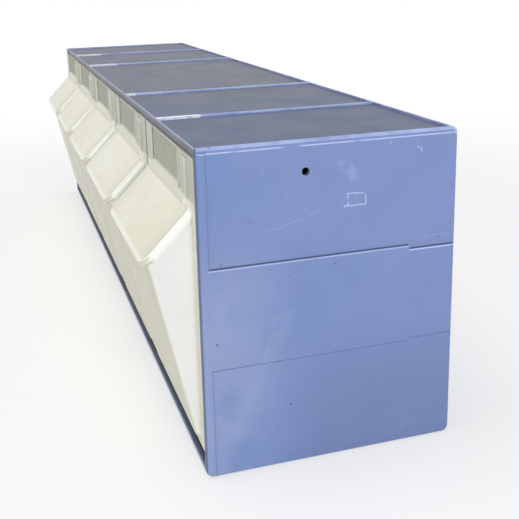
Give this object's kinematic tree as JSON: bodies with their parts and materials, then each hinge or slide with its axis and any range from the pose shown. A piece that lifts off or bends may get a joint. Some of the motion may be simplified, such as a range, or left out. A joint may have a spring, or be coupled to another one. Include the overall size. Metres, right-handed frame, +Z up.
{
  "type": "tilt bin storage unit",
  "caption": "Long low plastic storage housing with a row of milky tilt-out bins, each with a sloped scoop front, a label frame and a hinge at its foot.",
  "frame": {"origin": "middle of the housing's footprint, on the surface that the unit stands on", "axes": "+Z up, bins face -Y, the row of bins runs along X"},
  "size_m": [0.6, 0.1583, 0.165],
  "materials": {
    "housing_plastic": "worn satin",
    "bin_plastic": "milky satin",
    "label_card": "dull"
  },
  "bodies": {
    "housing": {"housing": "housing_plastic"},
    "bin_1": {"tilt_bin_1": "bin_plastic", "label_card_1": "label_card"},
    "bin_2": {"tilt_bin_2": "bin_plastic", "label_card_2": "label_card"},
    "bin_3": {"tilt_bin_3": "bin_plastic", "label_card_3": "label_card"},
    "bin_4": {"tilt_bin_4": "bin_plastic", "label_card_4": "label_card"},
    "bin_5": {"tilt_bin_5": "bin_plastic", "label_card_5": "label_card"}
  },
  "joints": [
    {"name": "bin_1_tilt", "type": "hinge", "parent": "housing", "child": "bin_1", "pos_m": [-0.23832, -0.0582, 0.014], "axis": [1, 0, 0], "range_deg": [0, 49]},
    {"name": "bin_2_tilt", "type": "hinge", "parent": "housing", "child": "bin_2", "pos_m": [-0.11916, -0.0582, 0.014], "axis": [1, 0, 0], "range_deg": [0, 49]},
    {"name": "bin_3_tilt", "type": "hinge", "parent": "housing", "child": "bin_3", "pos_m": [0, -0.0582, 0.014], "axis": [1, 0, 0], "range_deg": [0, 49]},
    {"name": "bin_4_tilt", "type": "hinge", "parent": "housing", "child": "bin_4", "pos_m": [0.11916, -0.0582, 0.014], "axis": [1, 0, 0], "range_deg": [0, 49]},
    {"name": "bin_5_tilt", "type": "hinge", "parent": "housing", "child": "bin_5", "pos_m": [0.23832, -0.0582, 0.014], "axis": [1, 0, 0], "range_deg": [0, 49]}
  ]
}
